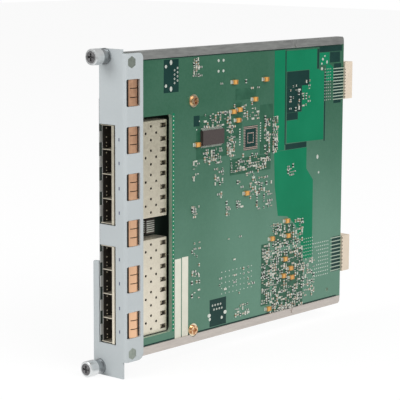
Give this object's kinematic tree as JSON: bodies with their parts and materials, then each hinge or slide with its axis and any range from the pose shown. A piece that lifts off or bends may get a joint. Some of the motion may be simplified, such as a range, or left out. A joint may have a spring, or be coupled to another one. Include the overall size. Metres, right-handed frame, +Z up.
{
  "type": "ethernet switch module",
  "caption": "Plug-in network switch blade with ganged transceiver cages, edge rails, backplane plugs and captive thumbscrews.",
  "frame": {"origin": "under the middle of the module as it stands on edge, at the height of the front panel's lower end", "axes": "+Z up along the front panel, +Y from the front panel back to the backplane plugs, +X across, towards the side flange and the main board"},
  "size_m": [0.026, 0.2372, 0.1903],
  "materials": {
    "painted_panel": "satin powder coat",
    "tinned_sheet": "tinned, grainy",
    "copper_finger": "beryllium copper, bright",
    "solder_mask": "green solder mask, satin",
    "port_mask": "dark green solder mask, satin",
    "rail_metal": "bright, brushed",
    "brass_screw": "bright",
    "steel_screw": "zinc plated",
    "standoff_metal": "zinc plated, dull",
    "knob_metal": "knurled, nickel plated",
    "collar_metal": "turned, nickel plated",
    "spring_wire": "spring wire",
    "black_body": "matt moulded",
    "chip_body": "matt moulded epoxy",
    "plug_body": "matt moulded, cream",
    "capacitor_body": "moulded, amber",
    "sink_metal": "anodised"
  },
  "bodies": {
    "chassis": {"board_screws": "brass_screw", "board_standoffs": "brass_screw", "bottom_rail": "rail_metal", "bridge_chip": "chip_body", "bus_chip": "chip_body", "flange_screws": "steel_screw", "flange_standoffs": "standoff_metal", "front_panel": "painted_panel", "gasket_carrier": "black_body", "gasket_spring_1": "copper_finger", "gasket_spring_2": "copper_finger", "gasket_spring_3": "copper_finger", "gasket_spring_4": "copper_finger", "gasket_spring_5": "copper_finger", "gasket_spring_6": "copper_finger", "heat_sink": "sink_metal", "lower_backplane_plug": "plug_body", "lower_cage_base": "tinned_sheet", "lower_cage_collar": "tinned_sheet", "lower_cage_cover": "tinned_sheet", "lower_cage_divider_1": "tinned_sheet", "lower_cage_divider_2": "tinned_sheet", "lower_cage_divider_3": "tinned_sheet", "lower_link_header": "black_body", "lower_link_socket": "black_body", "lower_screw_collar": "collar_metal", "lower_screw_spring": "spring_wire", "main_asic": "chip_body", "main_board": "solder_mask", "memory_chip_1": "chip_body", "memory_chip_2": "chip_body", "port_board": "port_mask", "port_chip": "chip_body", "port_connector_1": "black_body", "port_connector_2": "black_body", "port_connector_3": "black_body", "port_connector_4": "black_body", "port_connector_5": "black_body", "port_connector_6": "black_body", "port_connector_7": "black_body", "port_connector_8": "black_body", "rail_rivets": "rail_metal", "tantalum_capacitors": "capacitor_body", "top_rail": "rail_metal", "upper_backplane_plug": "plug_body", "upper_cage_base": "tinned_sheet", "upper_cage_collar": "tinned_sheet", "upper_cage_cover": "tinned_sheet", "upper_cage_divider_1": "tinned_sheet", "upper_cage_divider_2": "tinned_sheet", "upper_cage_divider_3": "tinned_sheet", "upper_link_header": "black_body", "upper_link_socket": "black_body", "upper_screw_collar": "collar_metal", "upper_screw_spring": "spring_wire"},
    "upper_ring": {"upper_retaining_ring": "spring_wire"},
    "upper_knob": {"upper_thumbscrew": "knob_metal"},
    "lower_ring": {"lower_retaining_ring": "spring_wire"},
    "lower_knob": {"lower_thumbscrew": "knob_metal"}
  },
  "joints": [
    {"name": "upper_screw_slide", "type": "slide", "parent": "chassis", "child": "upper_ring", "axis": [0, 1, 0], "range_m": [0, 0.0035], "stiffness_N_per_m": 150, "springref_m": -0.003, "deforming": ["upper_screw_spring"]},
    {"name": "upper_screw_turn", "type": "hinge", "parent": "upper_ring", "child": "upper_knob", "pos_m": [-0.00255, -0.10695, 0.1856], "axis": [0, 1, 0], "continuous": true},
    {"name": "lower_screw_slide", "type": "slide", "parent": "chassis", "child": "lower_ring", "axis": [0, 1, 0], "range_m": [0, 0.0035], "stiffness_N_per_m": 150, "springref_m": -0.003, "deforming": ["lower_screw_spring"]},
    {"name": "lower_screw_turn", "type": "hinge", "parent": "lower_ring", "child": "lower_knob", "pos_m": [-0.00805, -0.10695, 0.0049], "axis": [0, 1, 0], "continuous": true}
  ]
}
